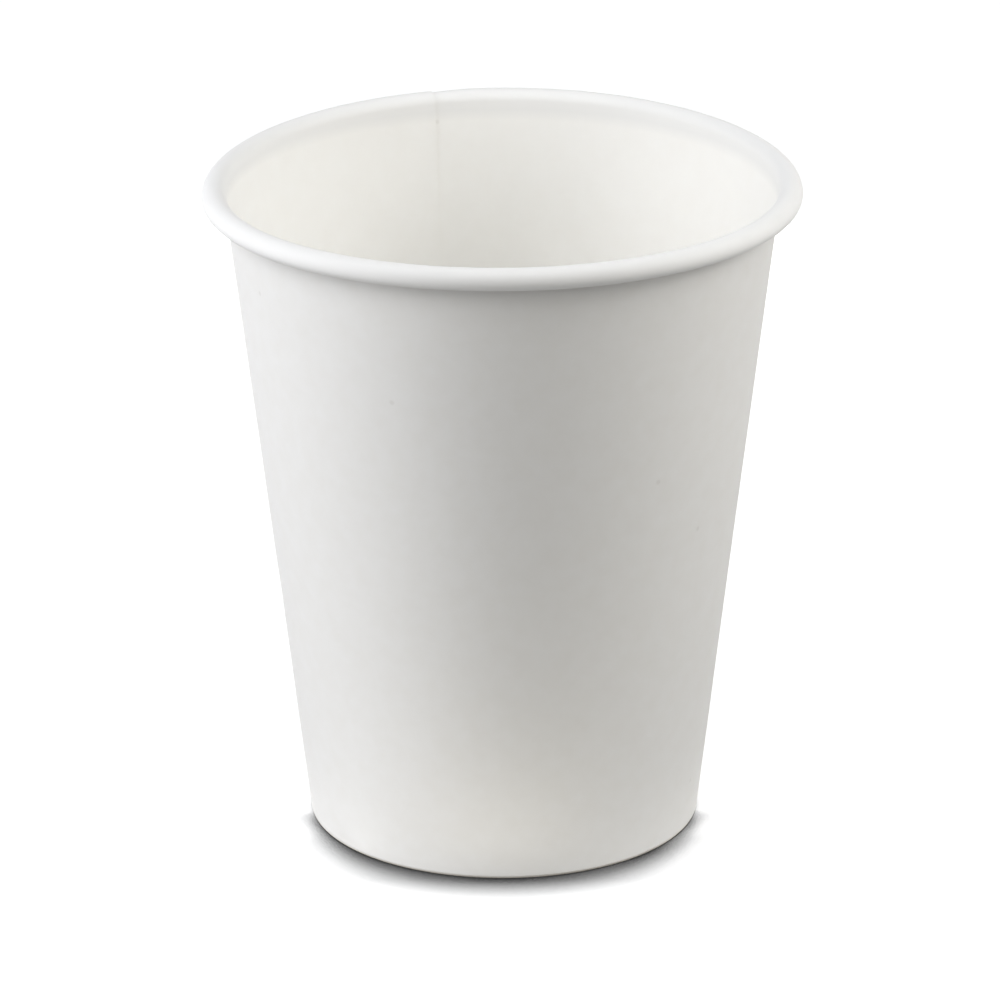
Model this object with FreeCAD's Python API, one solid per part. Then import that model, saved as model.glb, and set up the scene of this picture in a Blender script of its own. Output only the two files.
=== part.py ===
import FreeCAD, Part
import math
import os

# Driving dimensions, in millimetres and degrees

# Overall size of the cup
cup_height = 90.5           # table to the top of the rolled rim
rim_diameter = 80.0         # over the rolled rim, the size that a lid grips
foot_diameter = 52.8        # over the side wall where its line meets the table

# Coated board
wall_board = 0.3            # side wall blank
base_board = 0.28           # bottom blank, a lighter board
seal_film = 0.03            # melted coating between two sealed layers

# Rolled rim: the wall turns outward, down, back in and up inside itself
rim_width = 3.25            # inner wall surface to the outermost point
rim_roll_height = 2.85      # top of the roll to its underside
roll_clearance = 0.1        # air between the returning roll and a lapped wall
tuck_radius = 0.75          # last turn, inside the roll, on the middle of the board
tuck_angle = 60.0           # how far that last turn goes

# Side seam: the end of the blank ramps out and lies over its start
seam_angle = 104.5          # where the inner layer starts, counted from +X
seam_lap = 8.0              # width of the double layer
seam_ramp_angle = 2.4       # turn over which the outer layer climbs one board
seam_foot_lift = 0.7        # table to the lower end of the outer layer

# Foot: the wall folds inward and up round the skirt of the bottom
fold_inner_radius = 0.04    # crease inside the fold
hem_height = 5.8            # table to the cut edge of the folded hem
knurl_pitch = 1.6           # one groove to the next round the hem
knurl_depth = 0.09          # groove pressed into the inner face of the hem
knurl_radius = 0.5          # round of the roller tooth that presses it
knurl_margin = 0.4          # plain strip left above the fold

# Bottom: a disc with its skirt pressed down
base_recess = 7.0           # table to the underside of the disc
base_bend_radius = 0.5      # inside of the bend from disc to skirt

# Derived sizes
AXIS = FreeCAD.Vector(0, 0, 1)
ORIGIN = FreeCAD.Vector(0, 0, 0)

rim_radius = rim_diameter / 2
foot_radius = foot_diameter / 2
half_board = wall_board / 2
roll_radius = (rim_width - wall_board) / 2
under_radius = rim_roll_height - wall_board - roll_radius
roll_centre_r = rim_radius - half_board - roll_radius
roll_centre_z = cup_height - half_board - roll_radius


def wall_taper():
    """Lean of the wall: its outer face passes the foot and stays tangent to the roll."""
    across = roll_centre_r - foot_radius
    reach = math.hypot(across, roll_centre_z)
    return math.atan2(across, roll_centre_z) - math.asin((roll_radius - half_board) / reach)


taper = wall_taper()


def wall_radius(z, depth):
    """Radius at height z of the surface that lies depth inside the wall's outer face."""
    return foot_radius + z * math.tan(taper) - depth / math.cos(taper)


def return_radius():
    """Radius of the turn that brings the roll back up beside the wall."""
    centre_r = rim_radius - half_board - under_radius
    floor_z = roll_centre_z - under_radius
    room = centre_r - half_board - wall_radius(floor_z, 0) - wall_board - roll_clearance
    return room / (1 + math.tan(taper))


class BoardPath:
    """Middle line of a board in section, drawn from a start point by runs and right turns."""

    def __init__(self, r, z, heading):
        self.r = r
        self.z = z
        self.heading = heading
        self.steps = []

    def side(self, offset):
        """Point that lies offset to the right of the path's present end."""
        right = self.heading - math.pi / 2
        return self.r + offset * math.cos(right), self.z + offset * math.sin(right)

    def run(self, length):
        start = (self.r, self.z, self.heading)
        self.r += length * math.cos(self.heading)
        self.z += length * math.sin(self.heading)
        self.steps.append(("run", start, length))
        return self

    def turn(self, radius, angle):
        start = (self.r, self.z, self.heading)
        centre = self.side(radius)
        self.heading -= angle
        back = self.heading + math.pi / 2
        self.r = centre[0] + radius * math.cos(back)
        self.z = centre[1] + radius * math.sin(back)
        self.steps.append(("turn", start, radius, angle))
        return self

    def edges(self, offset):
        """Edges of the line that lies offset to the right of the path."""
        found = []
        for step in self.steps:
            pen = BoardPath(*step[1])
            first = pen.side(offset)
            if step[0] == "run":
                pen.run(step[2])
                found.append(Part.makeLine(section_point(first), section_point(pen.side(offset))))
            else:
                middle = BoardPath(*step[1]).turn(step[2], step[3] / 2).side(offset)
                pen.turn(step[2], step[3])
                ends = [section_point(p) for p in (first, middle, pen.side(offset))]
                found.append(Part.Arc(*ends).toShape())
        return found

    def strip(self, near, far):
        """Closed face between two lines that follow the path."""
        one = self.edges(near)
        two = self.edges(far)
        start_cap = Part.makeLine(one[0].Vertexes[0].Point, two[0].Vertexes[0].Point)
        end_cap = Part.makeLine(one[-1].Vertexes[-1].Point, two[-1].Vertexes[-1].Point)
        wire = Part.Wire(Part.__sortEdges__(one + [end_cap] + two + [start_cap]))
        return Part.Face(wire)


def section_point(point):
    return FreeCAD.Vector(point[0], 0, point[1])


def layer(path, order):
    """Section of one board: order 0 lies on the path, order 1 outside it by one board."""
    shift = order * wall_board
    return path.strip(shift - half_board, shift + half_board)


def turned(shape, degrees):
    copy = shape.copy()
    copy.rotate(ORIGIN, AXIS, degrees)
    return copy


def swept(face, first_angle, span):
    return turned(face, first_angle).revolve(ORIGIN, AXIS, span)


def wall_path():
    """Wall from above the fold to the tucked edge inside the rolled rim."""
    up = math.pi / 2 - taper
    path = BoardPath(wall_radius(seam_foot_lift, half_board), seam_foot_lift, up)
    roll_start_z = roll_centre_z + roll_radius * math.sin(taper)
    path.run((roll_start_z - seam_foot_lift) / math.cos(taper))
    path.turn(roll_radius, up)
    path.turn(roll_radius, math.pi / 2)
    path.turn(under_radius, math.pi / 2)
    path.turn(return_radius(), math.pi / 2)
    path.turn(tuck_radius, math.radians(tuck_angle))
    return path


def foot_path():
    """Lower end of the wall, folded under the bottom's skirt and up inside it."""
    down = -math.pi / 2 - taper
    fold_radius = fold_inner_radius + half_board
    hem_spacing = wall_board + base_board + 2 * seal_film
    flat = (hem_spacing - 2 * fold_radius) / math.cos(taper)
    fold_start_z = half_board + fold_radius * (1 - math.sin(taper))
    path = BoardPath(wall_radius(seam_foot_lift, half_board), seam_foot_lift, down)
    path.run((seam_foot_lift - fold_start_z) / math.cos(taper))
    path.turn(fold_radius, math.pi / 2 - taper)
    path.run(flat)
    path.turn(fold_radius, math.pi / 2 + taper)
    return path


def hem_grooves(path):
    """Rows of fine upright grooves that the knurling roller leaves inside the hem."""
    away = knurl_radius - knurl_depth + half_board
    low_r, low_z = path.side(-away)
    start_r = low_r + knurl_margin * math.sin(taper)
    start_z = low_z + knurl_margin * math.cos(taper)
    lean = FreeCAD.Vector(math.sin(taper), 0, math.cos(taper))
    tooth = Part.makeCylinder(knurl_radius, hem_height, FreeCAD.Vector(start_r, 0, start_z), lean)
    count = round(2 * math.pi * start_r / knurl_pitch)
    return [turned(tooth, i * 360 / count) for i in range(count)]


def outer_flap(section):
    """Outer layer of the seam, cut off along a line at one width from the inner layer's edge."""
    longest = 2 * math.degrees(math.asin(seam_lap / foot_radius))
    flap = swept(section, seam_angle, longest)
    block = Part.makeBox(rim_diameter, seam_lap, 2 * cup_height)
    return flap.common(turned(block, seam_angle))


def make_sidewall():
    path = wall_path()
    single = layer(path, 0)
    lapped = layer(path, 1)
    body = swept(single, seam_angle, 360 - seam_ramp_angle)
    low = turned(single, seam_angle - seam_ramp_angle).OuterWire
    high = turned(lapped, seam_angle).OuterWire
    ramp = Part.makeLoft([low, high], True, True)
    foot = foot_path()
    knurled_end = foot.side(0)
    hem = BoardPath(knurled_end[0], knurled_end[1], foot.heading)
    foot.run((hem_height - foot.z) / math.cos(taper))
    foot_ring = layer(foot, 0).revolve(ORIGIN, AXIS, 360)
    foot_ring = foot_ring.cut(Part.makeCompound(hem_grooves(hem)))
    return body.fuse([ramp, outer_flap(lapped), foot_ring])


def make_base_disc():
    half_base = base_board / 2
    bend = base_bend_radius + half_base
    disc_z = base_recess + half_base
    bend_centre_z = disc_z - bend
    depth = wall_board + seal_film + half_base
    flat = wall_radius(bend_centre_z, depth) - bend / math.cos(taper)
    path = BoardPath(0, disc_z, 0)
    path.run(flat)
    path.turn(bend, math.pi / 2 + taper)
    skirt_end_z = wall_board + seal_film + half_base * math.sin(taper)
    path.run((path.z - skirt_end_z) / math.cos(taper))
    return path.strip(-half_base, half_base).revolve(ORIGIN, AXIS, 360)


def write(name, shape):
    solids = shape.Solids
    if len(solids) != 1 or not solids[0].isValid():
        raise ValueError(name + " isn't one sound solid")
    solids[0].exportStep("parts/" + name + ".step")


os.makedirs("parts", exist_ok=True)
write("sidewall", make_sidewall())
write("base_disc", make_base_disc())
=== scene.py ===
import logging
import math
from collections.abc import Callable
from dataclasses import dataclass
from enum import Enum

import bpy
from mathutils import Matrix, Vector


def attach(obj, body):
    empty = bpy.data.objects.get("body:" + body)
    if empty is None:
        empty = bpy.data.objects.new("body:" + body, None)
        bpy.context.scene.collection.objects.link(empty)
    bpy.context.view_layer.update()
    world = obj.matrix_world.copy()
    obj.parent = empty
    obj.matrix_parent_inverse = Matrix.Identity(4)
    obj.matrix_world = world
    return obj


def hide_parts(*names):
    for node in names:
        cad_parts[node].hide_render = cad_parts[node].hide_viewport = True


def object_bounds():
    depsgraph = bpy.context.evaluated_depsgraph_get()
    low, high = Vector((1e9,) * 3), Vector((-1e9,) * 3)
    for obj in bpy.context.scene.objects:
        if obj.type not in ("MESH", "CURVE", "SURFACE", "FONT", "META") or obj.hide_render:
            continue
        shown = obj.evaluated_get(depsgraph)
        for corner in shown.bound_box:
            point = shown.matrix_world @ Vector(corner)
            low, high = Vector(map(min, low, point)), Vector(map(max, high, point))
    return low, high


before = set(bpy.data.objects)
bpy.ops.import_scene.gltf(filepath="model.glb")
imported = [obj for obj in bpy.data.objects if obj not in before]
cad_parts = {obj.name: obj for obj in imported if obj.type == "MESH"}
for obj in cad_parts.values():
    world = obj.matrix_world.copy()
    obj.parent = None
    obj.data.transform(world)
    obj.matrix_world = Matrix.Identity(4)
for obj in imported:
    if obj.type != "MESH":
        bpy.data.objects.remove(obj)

CAD_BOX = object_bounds()
MM = 0.001
MERGE_DISTANCE = 0.002 * MM
CUT_EDGE_ANGLE = math.radians(40.0)
LOG = logging.getLogger("paper_cup")


class BoardFace(Enum):
    """Which of a board's faces a polygon lies on; the value is its material slot."""

    FRONT = 0
    BACK = 1
    CUT_EDGE = 2


class MeshPart(Enum):
    """What is selected in edit mode."""

    VERTEX = "VERT"
    FACE = "FACE"


class Push(Enum):
    """Which way a displacement moves a surface."""

    UP_DOWN = "Z"
    THROUGH_BOARD = "NORMAL"


def linear_colour(code: str) -> tuple[float, float, float, float]:
    """Turns an sRGB hex code into a linear colour.

    Args:
        code: six hex digits, as in "F2F0EA".

    Returns:
        Red, green, blue and alpha as linear values.
    """
    parts = [int(code[i:i + 2], 16) / 255 for i in (0, 2, 4)]
    red, green, blue = (p / 12.92 if p <= 0.04045 else ((p + 0.055) / 1.055) ** 2.4 for p in parts)
    return red, green, blue, 1.0


def add_node(tree: bpy.types.NodeTree, kind: str, values: dict | None = None,
             links: dict | None = None, **settings) -> bpy.types.Node:
    """Adds one node with its settings and links.

    Args:
        tree: the node tree that gets the node.
        kind: the node's type name.
        values: input socket to its fixed value.
        links: input socket to the output socket that feeds it.
        settings: the node's own properties.

    Returns:
        The new node.
    """
    node = tree.nodes.new(kind)
    for name, value in settings.items():
        setattr(node, name, value)
    for name, value in (values or {}).items():
        node.inputs[name].default_value = value
    for name, socket in (links or {}).items():
        tree.links.new(socket, node.inputs[name])
    return node


@dataclass(frozen=True)
class CupBoardFinish:
    """Bleached cup board, pressed smooth between rollers.

    The pulp settles in faint clouds a few millimetres across, and single fibres leave a
    surface that is matte and very slightly rough, and that hardly shines even at a slant. Real
    fibres are about 0.03 mm wide, too fine to show, so they are drawn some ten times as coarse.
    A few specks of bark are left in the pulp. A band of another tone can run round the cup:
    tan wear at the foot of the outside, painted shade on the roll of the coated side.
    """

    name: str
    colour: str
    cloud_colour: str
    roughness: float
    ior: float = 1.5
    gloss: float = 0.2
    cloud_mm: float = 2.6
    fibre_mm: float = 0.34
    fibre_depth_mm: float = 0.008
    cloud_octaves: float = 3.0
    cloud_contrast: float = 0.55
    fibre_octaves: float = 2.0
    fibre_twist: float = 0.8
    speck_colour: str = "8F8573"
    speck_gap_mm: float = 9.0
    speck_mm: float = 0.9
    speck_strength: float = 0.11
    band_colour: str = "FFFFFF"
    band_from_mm: float = 0.0
    band_to_mm: float = 1.0
    band_strength: float = 0.0

    def material(self) -> bpy.types.Material:
        """Builds the node material.

        Returns:
            The finished material.
        """
        material = bpy.data.materials.new(self.name)
        material.use_nodes = True
        tree = material.node_tree
        tree.nodes.clear()
        place = add_node(tree, "ShaderNodeTexCoord").outputs["Object"]
        clouds = add_node(tree, "ShaderNodeTexNoise", links={"Vector": place}, values={
            "Scale": 1 / (self.cloud_mm * MM), "Detail": self.cloud_octaves,
            "Roughness": self.cloud_contrast})
        fibres = add_node(tree, "ShaderNodeTexNoise", links={"Vector": place}, values={
            "Scale": 1 / (self.fibre_mm * MM), "Detail": self.fibre_octaves,
            "Distortion": self.fibre_twist})
        tint = add_node(tree, "ShaderNodeMix", data_type="RGBA", links={
            "Factor": clouds.outputs["Fac"]})
        tint.inputs["A"].default_value = linear_colour(self.colour)
        tint.inputs["B"].default_value = linear_colour(self.cloud_colour)
        cells = add_node(tree, "ShaderNodeTexVoronoi", links={"Vector": place}, values={
            "Scale": 1 / (self.speck_gap_mm * MM)})
        half_speck = self.speck_mm / self.speck_gap_mm / 2
        speck = add_node(tree, "ShaderNodeMapRange", links={
            "Value": cells.outputs["Distance"]}, values={
            "From Min": half_speck / 2, "From Max": half_speck,
            "To Min": self.speck_strength, "To Max": 0.0})
        specked = add_node(tree, "ShaderNodeMix", data_type="RGBA", links={
            "Factor": speck.outputs["Result"], "A": tint.outputs["Result"]})
        specked.inputs["B"].default_value = linear_colour(self.speck_colour)
        height = add_node(tree, "ShaderNodeSeparateXYZ", links={"Vector": place})
        # Band round the cup by height: tan wear on the outside board, painted shade on the coated
        # board's roll.
        band = add_node(tree, "ShaderNodeMapRange", links={"Value": height.outputs["Z"]},
                        values={"From Min": self.band_from_mm * MM,
                                "From Max": self.band_to_mm * MM,
                                "To Max": self.band_strength})
        wear_and_painted_shade = add_node(tree, "ShaderNodeMix", data_type="RGBA", links={
            "Factor": band.outputs["Result"], "A": specked.outputs["Result"]})
        wear_and_painted_shade.inputs["B"].default_value = linear_colour(self.band_colour)
        relief = add_node(tree, "ShaderNodeBump", links={"Height": fibres.outputs["Fac"]}, values={
            "Strength": 1.0, "Distance": self.fibre_depth_mm * MM})
        shader = add_node(tree, "ShaderNodeBsdfPrincipled", values={
            "Roughness": self.roughness, "IOR": self.ior,
            "Specular IOR Level": self.gloss}, links={
            "Base Color": wear_and_painted_shade.outputs["Result"], "Normal": relief.outputs["Normal"]})
        add_node(tree, "ShaderNodeOutputMaterial", links={"Surface": shader.outputs["BSDF"]})
        return material


# Uncoated side of the board, smoothed between rollers: plain matte white with faint clouds, and
# rubbed tan where the fold stands on the table.
OUTSIDE_BOARD = CupBoardFinish("uncoated_cup_board", "F1F0ED", "ECEAE5", roughness=0.62,
                               band_colour="D2C3A6", band_from_mm=0.5, band_to_mm=0.0,
                               band_strength=0.6)
# Board with a thin polyethylene film melted on: warmer and smoother than the outside, and
# painted a shade lighter, as painted bounce light inside the cup. Its rolled rim is painted
# back to the outside's darker tone, as painted shade on the roll.
COATED_BOARD = CupBoardFinish("coated_cup_board", "FBFAF6", "F8F6F1", roughness=0.5,
                              fibre_depth_mm=0.005, band_colour="F1F0ED", band_from_mm=86.5,
                              band_to_mm=88.0, band_strength=1.0)
# Edge left by the die: torn fibres, matte and a little darker and yellower than the faces.
CUT_BOARD = CupBoardFinish("cut_board_edge", "F2EFE8", "EBE6DB", roughness=0.8,
                           fibre_mm=0.12, fibre_depth_mm=0.02)


@dataclass(frozen=True)
class CupSizes:
    """Sizes of the cup in metres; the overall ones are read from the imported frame."""

    height: float = CAD_BOX[1][2]
    rim_radius: float = CAD_BOX[1][0]
    foot_radius: float = 26.4 * MM
    board: float = 0.3 * MM
    base_board: float = 0.28 * MM
    film: float = 0.03 * MM
    rim_width: float = 3.25 * MM
    roll_height: float = 2.85 * MM
    roll_air: float = 0.1 * MM
    tuck_radius: float = 0.75 * MM
    tuck_angle: float = math.radians(60.0)
    seam_angle: float = math.radians(104.5)
    seam_lap: float = 8.0 * MM
    seam_ramp: float = math.radians(7.2)
    seam_step: float = 0.15 * MM
    seam_lift: float = 0.7 * MM
    fold_radius: float = 0.19 * MM
    hem_height: float = 5.8 * MM
    base_recess: float = 7.0 * MM
    base_bend: float = 0.5 * MM

    @property
    def roll_radius(self) -> float:
        """Radius of the roll's upper half, on the middle of the board."""
        return (self.rim_width - self.board) / 2

    @property
    def under_radius(self) -> float:
        """Radius of the roll's lower outer quarter."""
        return self.roll_height - self.board - self.roll_radius

    @property
    def roll_centre(self) -> tuple[float, float]:
        """Distance from the axis and height of the roll's middle."""
        inset = self.board / 2 + self.roll_radius
        return self.rim_radius - inset, self.height - inset

    @property
    def taper(self) -> float:
        """Lean of the wall, which passes the foot and touches the roll.

        Returns:
            The angle between the wall and the cup's axis.
        """
        across = self.roll_centre[0] - self.foot_radius
        reach = math.hypot(across, self.roll_centre[1])
        aim = math.atan2(across, self.roll_centre[1])
        return aim - math.asin((self.roll_radius - self.board / 2) / reach)

    def wall_radius(self, z: float, depth: float) -> float:
        """Radius of a surface of the leaning wall.

        Args:
            z: height above the table.
            depth: how far the surface lies inside the wall's outer face.

        Returns:
            The distance from the cup's axis.
        """
        return self.foot_radius + z * math.tan(self.taper) - depth / math.cos(self.taper)

    @property
    def return_radius(self) -> float:
        """Radius of the turn that brings the roll back up beside the wall.

        Returns:
            The radius on the middle of the board.
        """
        centre_r = self.rim_radius - self.board / 2 - self.under_radius
        floor_z = self.roll_centre[1] - self.under_radius
        # Half of the returning board, one lapped board of the seam, and air.
        gap = 1.5 * self.board + self.roll_air
        room = centre_r - self.wall_radius(floor_z, 0.0) - gap
        return room / (1 + math.tan(self.taper))


def deselect_all() -> None:
    """Leaves object mode with nothing selected and no active object."""
    if bpy.context.object and bpy.context.object.mode != "OBJECT":
        bpy.ops.object.mode_set(mode="OBJECT")
    bpy.ops.object.select_all(action="DESELECT")
    bpy.context.view_layer.objects.active = None


def activate(*pieces: bpy.types.Object) -> None:
    """Selects only these pieces.

    Args:
        pieces: the pieces; the last one becomes the active one.
    """
    deselect_all()
    for piece in pieces:
        piece.select_set(True)
    bpy.context.view_layer.objects.active = pieces[-1]


def select_parts(piece: bpy.types.Object, part: MeshPart,
                 test: Callable[[int, Vector], bool]) -> None:
    """Selects vertices or faces of a mesh by their place, and leaves edit mode on.

    Args:
        piece: the object that is being edited.
        part: what is selected.
        test: says from an element's number and place whether it is wanted.
    """
    bpy.ops.object.mode_set(mode="OBJECT")
    activate(piece)
    bpy.ops.object.mode_set(mode="EDIT")
    bpy.ops.mesh.select_mode(type=part.value)
    bpy.ops.mesh.select_all(action="DESELECT")
    bpy.ops.object.mode_set(mode="OBJECT")
    if part is MeshPart.VERTEX:
        found = piece.data.vertices
        places = [vertex.co for vertex in found]
    else:
        found = piece.data.polygons
        places = [face.center for face in found]
    found.foreach_set("select", [test(i, place) for i, place in enumerate(places)])
    bpy.ops.object.mode_set(mode="EDIT")


def close_and_orient(piece: bpy.types.Object, outward_at: Callable[[Vector], bool]) -> None:
    """Merges the doubles of a spun sheet and turns its faces outwards.

    Args:
        piece: the sheet.
        outward_at: finds a face whose normal has to point away from the axis.
    """
    activate(piece)
    bpy.ops.object.mode_set(mode="EDIT")
    bpy.ops.mesh.select_all(action="SELECT")
    bpy.ops.mesh.remove_doubles(threshold=MERGE_DISTANCE)
    bpy.ops.mesh.normals_make_consistent(inside=False)
    bpy.ops.object.mode_set(mode="OBJECT")
    sample = next(f for f in piece.data.polygons if outward_at(f.center))
    if sample.normal.x * sample.center.x + sample.normal.y * sample.center.y < 0:
        bpy.ops.object.mode_set(mode="EDIT")
        bpy.ops.mesh.select_all(action="SELECT")
        bpy.ops.mesh.flip_normals()
        bpy.ops.object.mode_set(mode="OBJECT")


def apply_modifier(piece: bpy.types.Object, kind: str, **settings) -> None:
    """Adds a modifier to a piece and applies it.

    Args:
        piece: the object to change.
        kind: the modifier's type.
        settings: the modifier's own properties.
    """
    activate(piece)
    modifier = piece.modifiers.new(kind.lower(), kind)
    for name, value in settings.items():
        setattr(modifier, name, value)
    bpy.ops.object.modifier_apply(modifier=modifier.name)


def displace(piece: bpy.types.Object, depth_at: Callable[[Vector], float], push: Push,
             sign: float = -1.0, texture: bpy.types.Texture | None = None) -> None:
    """Moves a piece's surface by an amount that is painted on it as a weight.

    Args:
        piece: the object to change.
        depth_at: how far the surface moves at a place, never below zero.
        push: which way it moves.
        sign: -1 moves it down or inwards, +1 up or outwards.
        texture: relief that the amount scales, or None for a plain move.
    """
    depths = [max(0.0, depth_at(v.co)) for v in piece.data.vertices]
    deepest = max(depths)
    group = piece.vertex_groups.new(name="depth")
    for index, depth in enumerate(depths):
        if depth > 0.0:
            group.add([index], depth / deepest, "REPLACE")
    apply_modifier(piece, "DISPLACE", direction=push.value, vertex_group=group.name,
                   strength=sign * deepest, mid_level=0.0,
                   texture=texture, texture_coords="LOCAL")
    piece.vertex_groups.clear()


def give_thickness(piece: bpy.types.Object, board: float) -> None:
    """Gives a sheet its thickness, half on each side, and its back and cut edges their slots.

    Args:
        piece: the sheet.
        board: how thick it gets.
    """
    apply_modifier(piece, "SOLIDIFY", thickness=board, offset=0.0, use_even_offset=True,
                   material_offset=BoardFace.BACK.value,
                   material_offset_rim=BoardFace.CUT_EDGE.value)


def ease(share: float) -> float:
    """Rises softly from 0 to 1 as the share does.

    Args:
        share: a part of the whole, from 0 to 1.

    Returns:
        The softened share.
    """
    return share * share * (3 - 2 * share)


def clouds(name: str, size: float) -> bpy.types.Texture:
    """Makes a soft relief for a displacement.

    Args:
        name: the texture's name.
        size: width of its humps and hollows.

    Returns:
        The texture.
    """
    texture = bpy.data.textures.new(name, "CLOUDS")
    texture.noise_scale = size
    texture.noise_depth = 1
    return texture


class SectionPen:
    """A vertex that is extruded and spun along a board's middle line, in the XZ plane."""

    def __init__(self, name: str, r: float, z: float, heading: float) -> None:
        """Starts a new mesh from a small plane that is merged into one vertex.

        Args:
            name: the piece's name.
            r: distance of the first point from the axis.
            z: height of the first point.
            heading: direction of the first run, counted from +X towards +Z.
        """
        deselect_all()
        bpy.ops.mesh.primitive_plane_add(size=MM, location=(0.0, 0.0, 0.0))
        self.piece = bpy.context.object
        self.piece.name = name
        self.piece.data.name = name
        self.r, self.z, self.heading = r, z, heading
        bpy.ops.object.mode_set(mode="EDIT")
        bpy.ops.mesh.select_all(action="SELECT")
        bpy.ops.mesh.merge(type="CENTER")
        bpy.ops.transform.translate(value=(r, 0.0, z))

    def run(self, length: float, steps: int) -> None:
        """Extrudes the line straight on.

        Args:
            length: how far to go.
            steps: number of equal edges.
        """
        step = (length / steps * math.cos(self.heading), 0.0,
                length / steps * math.sin(self.heading))
        for _ in range(steps):
            bpy.ops.mesh.extrude_vertices_move(TRANSFORM_OT_translate={"value": step})
        self.r += step[0] * steps
        self.z += step[2] * steps

    def turn(self, radius: float, angle: float, steps: int) -> None:
        """Spins the line round to the right.

        Args:
            radius: radius of the turn.
            angle: how far the line turns.
            steps: number of equal edges.
        """
        side = self.heading - math.pi / 2
        centre = (self.r + radius * math.cos(side), self.z + radius * math.sin(side))
        bpy.ops.mesh.spin(steps=steps, angle=-angle, center=(centre[0], 0.0, centre[1]),
                          axis=(0.0, 1.0, 0.0))
        self.heading -= angle
        back = self.heading + math.pi / 2
        self.r = centre[0] + radius * math.cos(back)
        self.z = centre[1] + radius * math.sin(back)

    def wrap(self, angle: float, steps: int, whole: bool = True) -> None:
        """Spins the line about the cup's axis towards +Y and leaves its last copy selected.

        Args:
            angle: how far to turn.
            steps: number of columns of faces.
            whole: True for the line as drawn, False to go on from the last copy.
        """
        if whole:
            bpy.ops.mesh.select_all(action="SELECT")
        bpy.ops.mesh.spin(steps=steps, angle=-angle, center=(0.0, 0.0, 0.0), axis=(0.0, 0.0, 1.0))


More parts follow.
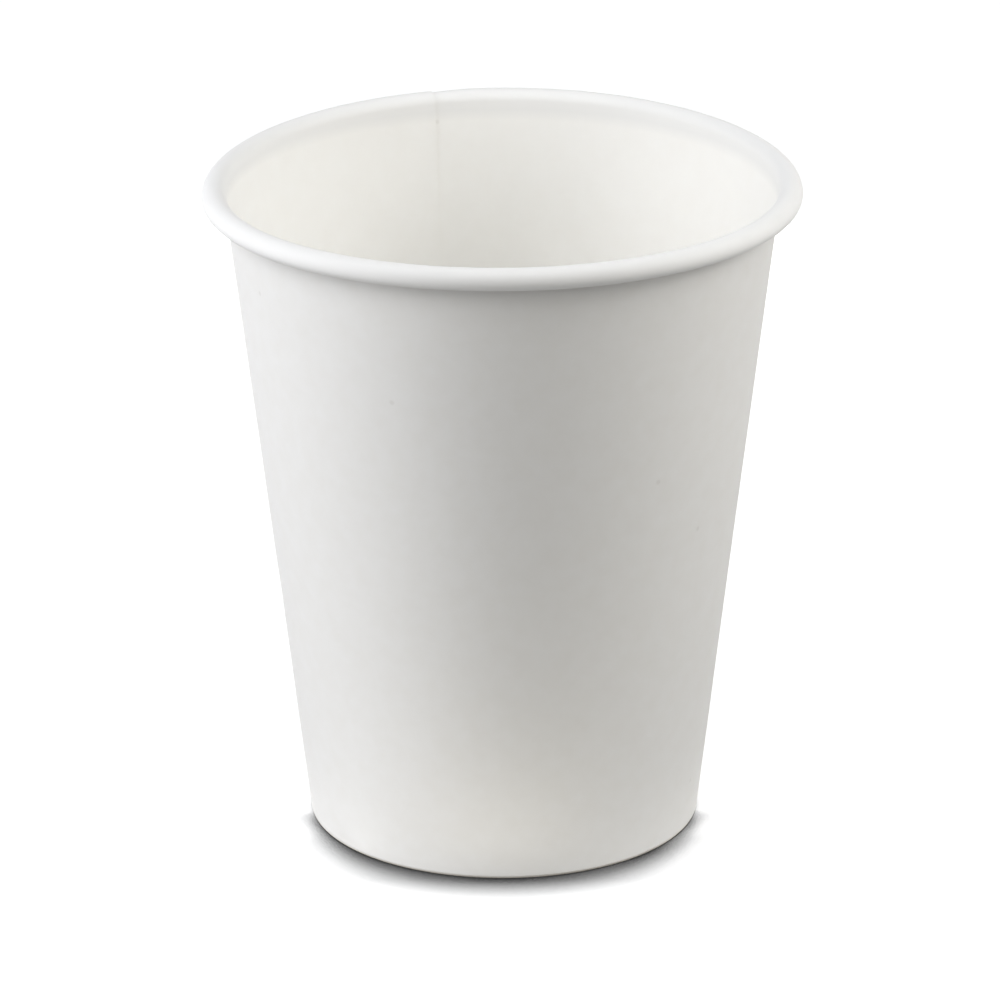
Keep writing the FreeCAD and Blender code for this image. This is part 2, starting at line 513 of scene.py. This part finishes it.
@dataclass
class SideWall:
    """The wall's blank: folded foot, lapped seam and rolled rim, made of one board.

    The rim isn't a true circle: rim_drop and rim_saddle lower it at both sides, and it leans
    down to the left by rim_tilt. The board wanders a little in the middle of the wall. It is
    still up to calm_reach above the table, and the wander grows over that height again and
    fades over it below the roll. The hem's inner face lies two boards deep, besides the
    bottom's skirt, and the knurl is pressed into what is more than hem_face_share boards deep.
    """

    sizes: CupSizes
    columns: int = 300
    ramp_columns: int = 9
    lap_columns: int = 15
    wall_rows: int = 60
    roll_rows: int = 9
    tuck_rows: int = 5
    fold_rows: int = 5
    hem_rows: int = 3
    knurl_every: int = 3
    knurl_depth: float = 0.09 * MM
    knurl_margin: float = 0.4 * MM
    hem_face_share: float = 1.8
    rim_drop: float = 0.31 * MM
    rim_tilt: float = 0.004
    rim_saddle: float = 0.32 * MM
    unevenness: float = 0.09 * MM
    unevenness_size: float = 19.0 * MM
    calm_reach: float = 12.0 * MM
    dint_height: float = 33.0 * MM
    dint_angle: float = math.radians(183.0)
    dint_reach: float = 2.6 * MM
    dint_depth: float = 0.16 * MM

    def build(self) -> bpy.types.Object:
        """Models the wall and dresses it.

        Returns:
            The finished piece.
        """
        s = self.sizes
        piece = self.joined(self.foot_ring(), self.wrapped_wall())
        dress(piece, OUTSIDE_BOARD, COATED_BOARD, CUT_BOARD)
        displace(piece, self.unevenness_at, Push.THROUGH_BOARD,
                 texture=clouds("board_unevenness", self.unevenness_size))
        displace(piece, self.dint_at, Push.THROUGH_BOARD)
        displace(piece, self.rim_drop_at, Push.UP_DOWN)
        give_thickness(piece, s.board)
        self.press_knurl(piece)
        smooth(piece)
        return piece

    @property
    def column_angle(self) -> float:
        """Turn from one column of faces to the next."""
        return 2 * math.pi / self.columns

    def foot_ring(self) -> bpy.types.Object:
        """Draws the fold and the hem and spins them all the way round.

        Returns:
            The ring, up to where the side seam starts.
        """
        s = self.sizes
        down = -math.pi / 2 - s.taper
        spacing = s.board + s.base_board + 2 * s.film
        flat = (spacing - 2 * s.fold_radius) / math.cos(s.taper)
        fold_z = s.board / 2 + s.fold_radius * (1 - math.sin(s.taper))
        pen = SectionPen("foot", s.wall_radius(s.seam_lift, s.board / 2), s.seam_lift, down)
        pen.run((s.seam_lift - fold_z) / math.cos(s.taper), 1)
        pen.turn(s.fold_radius, math.pi / 2 - s.taper, self.fold_rows)
        pen.run(flat, 1)
        pen.turn(s.fold_radius, math.pi / 2 + s.taper, self.fold_rows)
        pen.run(self.knurl_margin, 1)
        pen.run((s.hem_height - pen.z) / math.cos(s.taper), self.hem_rows)
        pen.wrap(2 * math.pi, self.columns)
        return pen.piece

    def wrapped_wall(self) -> bpy.types.Object:
        """Draws the wall and the roll and wraps them; the last part ramps out and laps the first.

        The seam is pressed while it is hot, so its outer layer sinks into the inner one and
        stands out by less than a board.

        Returns:
            The wrapped wall.
        """
        s = self.sizes
        up = math.pi / 2 - s.taper
        pen = SectionPen("cup_wall", s.wall_radius(s.seam_lift, s.board / 2), s.seam_lift, up)
        top = s.roll_centre[1] + s.roll_radius * math.sin(s.taper)
        pen.run((top - s.seam_lift) / math.cos(s.taper), self.wall_rows)
        pen.turn(s.roll_radius, up, self.roll_rows)
        pen.turn(s.roll_radius, math.pi / 2, self.roll_rows)
        pen.turn(s.under_radius, math.pi / 2, self.roll_rows)
        pen.turn(s.return_radius, math.pi / 2, self.roll_rows)
        pen.turn(s.tuck_radius, s.tuck_angle, self.tuck_rows)
        single = 2 * math.pi - s.seam_ramp
        pen.wrap(single, round(single / self.column_angle))
        climbed = 0.0
        for column in range(1, self.ramp_columns + 1):
            pen.wrap(s.seam_ramp / self.ramp_columns, 1, whole=False)
            share = column / self.ramp_columns
            climb = s.seam_step * ease(share)
            bpy.ops.transform.shrink_fatten(value=climbed - climb)
            climbed = climb
        bpy.ops.object.mode_set(mode="OBJECT")
        before_lap = len(pen.piece.data.polygons)
        bpy.ops.object.mode_set(mode="EDIT")
        pen.wrap(self.lap_columns * self.column_angle, self.lap_columns, whole=False)
        select_parts(pen.piece, MeshPart.FACE, lambda index, place: index >= before_lap)
        bpy.ops.mesh.bisect(plane_co=(0.0, s.seam_lap, 0.0), plane_no=(0.0, 1.0, 0.0),
                            clear_outer=True)
        return pen.piece

    def joined(self, foot: bpy.types.Object, wall: bpy.types.Object) -> bpy.types.Object:
        """Joins the foot ring to the wall and turns the seam to its place.

        Args:
            foot: the foot ring.
            wall: the wrapped wall.

        Returns:
            The joined piece.
        """
        activate(foot, wall)
        bpy.ops.object.join()
        low, high = self.sizes.height / 2, self.sizes.height * 3 / 4
        close_and_orient(wall, lambda place: low < place.z < high and place.y < 0.0)
        bpy.ops.object.mode_set(mode="EDIT")
        bpy.ops.mesh.select_all(action="SELECT")
        bpy.ops.transform.rotate(value=-self.sizes.seam_angle, orient_axis="Z",
                                 center_override=(0.0, 0.0, 0.0))
        bpy.ops.object.mode_set(mode="OBJECT")
        return wall

    def unevenness_at(self, place: Vector) -> float:
        """Says how far the board may wander: not at all at the foot and in the roll.

        Args:
            place: a place on the wall.

        Returns:
            The greatest distance there.
        """
        below_roll = self.sizes.height - self.sizes.roll_height - place.z
        free = min(place.z - self.calm_reach, below_roll)
        return self.unevenness * ease(min(1.0, max(0.0, free / self.calm_reach)))

    def dint_at(self, place: Vector) -> float:
        """Says how deep the small dint on the left is.

        Args:
            place: a place on the wall.

        Returns:
            The depth there.
        """
        r = self.sizes.wall_radius(self.dint_height, 0.0)
        middle = Vector((r * math.cos(self.dint_angle), r * math.sin(self.dint_angle),
                         self.dint_height))
        return self.dint_depth * ease(max(0.0, 1 - (place - middle).length / self.dint_reach))

    def rim_drop_at(self, place: Vector) -> float:
        """Says how far the wall sinks; its rim is a slight saddle and leans a little.

        Args:
            place: a place on the wall.

        Returns:
            The drop there.
        """
        share = max(0.0, place.z / self.sizes.height)
        radius2 = max(place.x ** 2 + place.y ** 2, MM ** 2)
        saddle = self.rim_saddle * (place.x ** 2 - place.y ** 2) / radius2
        return share ** 2 * (self.rim_drop - self.rim_tilt * place.x + saddle)

    def press_knurl(self, piece: bpy.types.Object) -> None:
        """Presses upright grooves into the hem's inner face, one every few columns.

        Args:
            piece: the wall with its thickness.
        """
        s = self.sizes
        low = s.board + self.knurl_margin / 2
        depth = self.hem_face_share * s.board + s.base_board + 2 * s.film

        def in_groove(index: int, place: Vector) -> bool:
            """Says whether a vertex lies on a grooved column of the hem's inner face.

            Args:
                index: the vertex's number, which doesn't matter.
                place: where it is.

            Returns:
                True for a vertex that is pressed.
            """
            if not low < place.z < s.hem_height + s.board:
                return False
            if math.hypot(place.x, place.y) > s.wall_radius(place.z, depth):
                return False
            turn = math.atan2(place.y, place.x) - s.seam_angle
            return round(turn / self.column_angle) % self.knurl_every == 0

        select_parts(piece, MeshPart.VERTEX, in_groove)
        grow = 1 + self.knurl_depth / s.wall_radius(s.hem_height / 2, depth)
        bpy.ops.transform.resize(value=(grow, grow, 1.0), center_override=(0.0, 0.0, 0.0))
        bpy.ops.object.mode_set(mode="OBJECT")


@dataclass
class BaseDisc:
    """The bottom: a disc of lighter board with its skirt pressed down into the foot."""

    sizes: CupSizes
    columns: int = 240
    disc_rows: int = 9
    bend_rows: int = 6
    skirt_rows: int = 3
    dome: float = 0.25 * MM

    def build(self) -> bpy.types.Object:
        """Models the bottom and dresses it.

        Returns:
            The finished piece.
        """
        s = self.sizes
        half = s.base_board / 2
        bend = s.base_bend + half
        disc_z = s.base_recess + half
        flat = s.wall_radius(disc_z - bend, s.board + s.film + half) - bend / math.cos(s.taper)
        end_z = s.board + s.film + half * math.sin(s.taper)
        pen = SectionPen("cup_bottom", 0.0, disc_z, 0.0)
        pen.run(flat, self.disc_rows)
        pen.turn(bend, math.pi / 2 + s.taper, self.bend_rows)
        pen.run((pen.z - end_z) / math.cos(s.taper), self.skirt_rows)
        pen.wrap(2 * math.pi, self.columns)
        piece = pen.piece
        close_and_orient(piece, lambda place: place.z < s.base_recess / 2)
        dress(piece, COATED_BOARD, OUTSIDE_BOARD, CUT_BOARD)
        displace(piece, lambda place: self.dome * (1 - (place.x ** 2 + place.y ** 2) / flat ** 2),
                 Push.UP_DOWN, sign=1.0)
        give_thickness(piece, s.base_board)
        smooth(piece)
        return piece


def dress(piece: bpy.types.Object, *finishes: CupBoardFinish) -> None:
    """Gives a piece one material slot for each of its finishes.

    Args:
        piece: the piece.
        finishes: those of its faces, in the order of BoardFace.
    """
    for finish in finishes:
        piece.data.materials.append(finish.material())


def smooth(piece: bpy.types.Object) -> None:
    """Shades a piece smooth, apart from its cut edges.

    Args:
        piece: the piece.
    """
    activate(piece)
    bpy.ops.object.shade_smooth_by_angle(angle=CUT_EDGE_ANGLE)


class Aim(Enum):
    """Where a lamp points."""

    CUP = "the cup's middle"
    UP = "straight up, as light thrown back by a pale table"


class LampShape(Enum):
    """Outline of a lamp's glowing face."""

    SQUARE = "SQUARE"
    ROUND = "DISK"


@dataclass(frozen=True)
class SoftLamp:
    """A soft lamp or a glowing patch of table, given by its place, size and level."""

    name: str
    place: tuple[float, float, float]
    size: float
    power: float
    colour: tuple[float, float, float] = (1.0, 1.0, 1.0)
    aim: Aim = Aim.CUP
    shape: LampShape = LampShape.SQUARE

    def build(self) -> bpy.types.Object:
        """Adds the lamp.

        Returns:
            The lamp.
        """
        deselect_all()
        bpy.ops.object.light_add(type="AREA", location=self.place)
        lamp = bpy.context.object
        lamp.name = self.name
        lamp.data.shape = self.shape.value
        lamp.data.size = self.size
        lamp.data.energy = self.power
        lamp.data.color = self.colour
        lamp.visible_camera = False
        away = Vector(self.place) - Vector((0.0, 0.0, CAD_BOX[1][2] / 2))
        if self.aim is Aim.UP:
            away = Vector((0.0, 0.0, -1.0))
        lamp.rotation_euler = away.to_track_quat("Z", "Y").to_euler()
        return lamp


LAMPS = (
    SoftLamp("front_softbox", (0.0, -1.024, 0.845), 0.7, 3.25, (1.0, 0.992, 0.957)),
    SoftLamp("left_softbox", (-1.024, 0.0, 0.845), 0.7, 4.42, (0.911, 0.934, 1.0)),
    SoftLamp("front_left_softbox", (-0.887, -0.512, 0.845), 0.7, 4.5, (0.973, 0.982, 1.0)),
    SoftLamp("right_softbox", (1.024, 0.0, 0.845), 0.7, 6.15),
    SoftLamp("left_lamp", (-0.29, -0.078, 0.1), 0.16, 0.228, (0.973, 0.977, 1.0)),
    SoftLamp("left_rim_lamp", (-0.212, -0.057, 0.16), 0.12, 0.077, (0.869, 0.9, 1.0)),
    SoftLamp("right_rim_lamp", (0.212, -0.057, 0.16), 0.12, 0.144, (1.0, 0.985, 0.961)),
    SoftLamp("top_right_lamp", (0.12, 0.0, 0.4), 0.16, 0.115, (0.776, 0.857, 1.0)),
    SoftLamp("low_back_lamp", (0.0, 0.25, 0.02), 0.1, 0.13),
    SoftLamp("table_left", (-0.044, -0.044, 0.5 * MM), 0.05, 0.0018, aim=Aim.UP),
    SoftLamp("table_front", (0.0, -0.048, 0.5 * MM), 0.03, 0.0021, (1.0, 0.955, 0.85), Aim.UP),
    SoftLamp("table_round_cup", (0.0, 0.0, 0.4 * MM), 0.076, 0.0046, aim=Aim.UP,
             shape=LampShape.ROUND),
)


@dataclass(frozen=True)
class Studio:
    """Plain pale floor, soft lamps and the camera at the photograph's viewing angle.

    The floor is painted darker where something within contact_reach hides the sky, to
    contact_dark where only contact_open of the sky is seen: a painted contact shadow. Beside the
    cup this painted shadow is kept narrow, in place of light from the side lamps.
    It shrinks to contact_least in a strip whose middle lies contact_clear behind the cup's
    middle, and which starts contact_start in front of it. The line is whole contact_span in
    front of that strip, and comes back behind it.
    """

    camera_place: tuple[float, float, float] = (0.0, -0.884402, 0.380573)
    camera_near: float = 0.01
    camera_far: float = 50.0
    camera_pitch: float = 0.363384
    camera_yaw: float = -0.000493
    camera_roll: float = -0.003391
    lens: float = 251.835
    sensor: float = 36.0
    floor_size: float = 8.0
    floor_colour: str = "969696"
    floor_gain: float = 0.4
    floor_glow: float = 0.8
    contact_reach: float = 9.8 * MM
    contact_open: float = 0.46
    contact_span: float = 24.5 * MM
    contact_least: float = 0.03
    contact_clear: float = 8.0 * MM
    contact_start: float = 2.0 * MM
    contact_dark: float = 0.03
    contact_samples: int = 8
    sky: float = 0.1

    def build(self) -> None:
        """Sets up the camera, the floor, the lamps and the sky."""
        scene = bpy.context.scene
        scene.view_settings.view_transform = "Standard"
        self.add_camera()
        self.add_floor()
        self.add_sky()
        for lamp in LAMPS:
            lamp.build()

    def add_camera(self) -> None:
        """Adds the camera and makes it the scene's own."""
        deselect_all()
        bpy.ops.object.camera_add(location=self.camera_place)
        camera = bpy.context.object
        camera.name = "camera"
        turn = (Matrix.Rotation(-self.camera_yaw, 3, "Z")
                @ Matrix.Rotation(math.pi / 2 - self.camera_pitch, 3, "X")
                @ Matrix.Rotation(self.camera_roll, 3, "Z"))
        camera.rotation_euler = turn.to_euler()
        camera.data.sensor_width = self.sensor
        camera.data.lens = self.lens
        camera.data.clip_start = self.camera_near
        camera.data.clip_end = self.camera_far
        bpy.context.scene.camera = camera

    def add_floor(self) -> None:
        """Adds the floor, which looks white to the camera and keeps the cup's shadow.

        The sweep glows white to the camera alone. Real light on it is added to that glow, and both
        fade where little of the sky is seen, which paints the contact shadow under the foot.
        From beneath it lets the camera through, so the foot can be looked at.
        """
        deselect_all()
        bpy.ops.mesh.primitive_plane_add(size=self.floor_size, location=(0.0, 0.0, 0.0))
        floor = bpy.context.object
        floor.name = "floor"
        material = bpy.data.materials.new("white_sweep")
        material.use_nodes = True
        tree = material.node_tree
        tree.nodes.clear()
        seen = seen_directly(tree)
        plain = add_node(tree, "ShaderNodeBsdfDiffuse", {"Color": linear_colour(self.floor_colour)})
        fade = self.contact_fade(tree)
        level = add_node(tree, "ShaderNodeMath", {1: self.floor_gain}, {
            0: fade}, operation="MULTIPLY")
        lit = add_node(tree, "ShaderNodeBsdfDiffuse", links={"Color": level.outputs["Value"]})
        glow = add_node(tree, "ShaderNodeEmission", {"Strength": self.floor_glow}, {
            "Color": fade})
        shown = add_node(tree, "ShaderNodeAddShader", links={
            0: lit.outputs["BSDF"], 1: glow.outputs["Emission"]})
        mix = add_node(tree, "ShaderNodeMixShader", links={
            "Fac": seen, 1: plain.outputs["BSDF"], 2: shown.outputs["Shader"]})
        beneath = add_node(tree, "ShaderNodeMath", operation="MULTIPLY", links={
            0: add_node(tree, "ShaderNodeNewGeometry").outputs["Backfacing"],
            1: add_node(tree, "ShaderNodeLightPath").outputs["Is Camera Ray"]})
        clear = add_node(tree, "ShaderNodeBsdfTransparent")
        floor_shader = add_node(tree, "ShaderNodeMixShader", links={
            "Fac": beneath.outputs["Value"], 1: mix.outputs["Shader"],
            2: clear.outputs["BSDF"]})
        add_node(tree, "ShaderNodeOutputMaterial", links={
            "Surface": floor_shader.outputs["Shader"]})
        floor.data.materials.append(material)

    def contact_fade(self, tree: bpy.types.NodeTree) -> bpy.types.NodeSocket:
        """Makes a factor that is 1 on open floor and falls in the painted contact shadow under the
        foot.

        Args:
            tree: the node tree that gets the nodes.

        Returns:
            The socket that holds the factor.
        """
        openness = add_node(tree, "ShaderNodeAmbientOcclusion", {"Distance": self.contact_reach},
                            samples=self.contact_samples)
        nearness = add_node(tree, "ShaderNodeMapRange", {"From Min": self.contact_open}, {
            "Value": openness.outputs["AO"]})
        place = add_node(tree, "ShaderNodeSeparateXYZ", links={
            "Vector": add_node(tree, "ShaderNodeTexCoord").outputs["Object"]})
        turned_back = add_node(tree, "ShaderNodeMath", {1: self.contact_clear}, {
            0: place.outputs["Y"]}, operation="SUBTRACT")
        away = add_node(tree, "ShaderNodeMath", operation="ABSOLUTE", links={
            0: turned_back.outputs["Value"]})
        aside = add_node(tree, "ShaderNodeMath", {1: self.contact_clear + self.contact_start}, {
            0: away.outputs["Value"]}, operation="SUBTRACT")
        span = add_node(tree, "ShaderNodeMapRange", links={"Value": aside.outputs["Value"]},
                        values={"From Max": self.contact_span, "To Min": self.contact_least})
        spread = add_node(tree, "ShaderNodeMath", operation="DIVIDE", links={
            0: nearness.outputs["Result"], 1: span.outputs["Result"]})
        fade = add_node(tree, "ShaderNodeMapRange", interpolation_type="SMOOTHSTEP",
                        values={"To Min": self.contact_dark}, links={
                            "Value": spread.outputs["Value"]})
        return fade.outputs["Result"]

    def add_sky(self) -> None:
        """Adds an even sky that is white where the camera sees it."""
        world = bpy.data.worlds.new("studio_sky")
        bpy.context.scene.world = world
        world.use_nodes = True
        tree = world.node_tree
        tree.nodes.clear()
        light = add_node(tree, "ShaderNodeBackground", {
            "Color": (1.0, 1.0, 1.0, 1.0), "Strength": self.sky})
        white = add_node(tree, "ShaderNodeBackground", {
            "Color": (1.0, 1.0, 1.0, 1.0), "Strength": 1.0})
        mix = add_node(tree, "ShaderNodeMixShader", links={
            "Fac": seen_directly(tree), 1: light.outputs["Background"],
            2: white.outputs["Background"]})
        add_node(tree, "ShaderNodeOutputWorld", links={"Surface": mix.outputs["Shader"]})


def seen_directly(tree: bpy.types.NodeTree) -> bpy.types.NodeSocket:
    """Makes a factor that is 1 for what the camera sees, also by reflection or through glass.

    Args:
        tree: the node tree that gets the nodes.

    Returns:
        The socket that holds the factor.
    """
    path = add_node(tree, "ShaderNodeLightPath")
    mirrored = add_node(tree, "ShaderNodeMath", operation="MAXIMUM", links={
        0: path.outputs["Is Camera Ray"], 1: path.outputs["Is Glossy Ray"]})
    through = add_node(tree, "ShaderNodeMath", operation="MAXIMUM", links={
        0: mirrored.outputs["Value"], 1: path.outputs["Is Transmission Ray"]})
    return through.outputs["Value"]


def report(piece: bpy.types.Object) -> None:
    """Logs a finished piece's size and number of faces.

    Args:
        piece: the piece.
    """
    size = " x ".join(f"{side / MM:.2f}" for side in piece.dimensions)
    LOG.info("%s: %d faces, %s mm", piece.name, len(piece.data.polygons), size)


def main() -> None:
    """Builds the cup and the studio, and reports each piece."""
    logging.basicConfig(level=logging.INFO, format="%(message)s")
    sizes = CupSizes()
    for made, node, material_slot in ((SideWall(sizes), "sidewall", "wall_board"),
                                      (BaseDisc(sizes), "base_disc", "base_board")):
        piece = made.build()
        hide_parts(node)
        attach(piece, "root")
        report(piece)
    Studio().build()
    bpy.context.view_layer.update()


if __name__ == "__main__":
    main()
